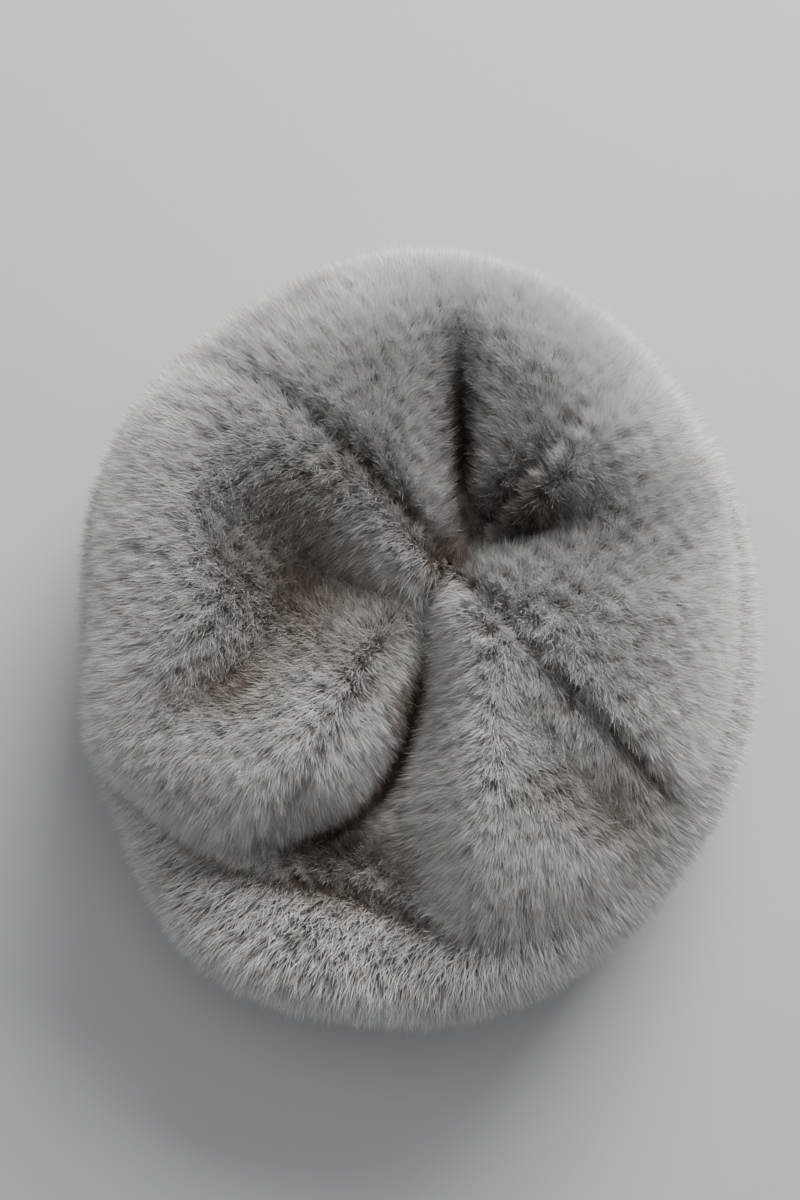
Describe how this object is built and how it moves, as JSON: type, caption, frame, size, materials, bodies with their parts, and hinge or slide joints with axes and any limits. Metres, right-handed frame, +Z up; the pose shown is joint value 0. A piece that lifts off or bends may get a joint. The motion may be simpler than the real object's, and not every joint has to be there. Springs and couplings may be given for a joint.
{
  "type": "four-gore short-pile fur hat",
  "caption": "Soft short-pile fur hat: a sunken crown of sewn gores over a rolled side band, resting on its open hem.",
  "frame": {"origin": "middle of the hat's box at the level of the hem, where it rests", "axes": "+Z up out of the crown, +Y along the longer way of the oval, front to back, +X to the wearer's right side when the front is at -Y"},
  "size_m": [0.2296, 0.2603, 0.1186],
  "materials": {
    "fur": "short dense fur pile, grey-beige tips over dark brown roots"
  },
  "bodies": {
    "root": {"crown_gore_back": "fur", "crown_gore_right": "fur", "crown_gore_front": "fur", "crown_gore_left": "fur", "side_band": "fur"}
  },
  "joints": []
}
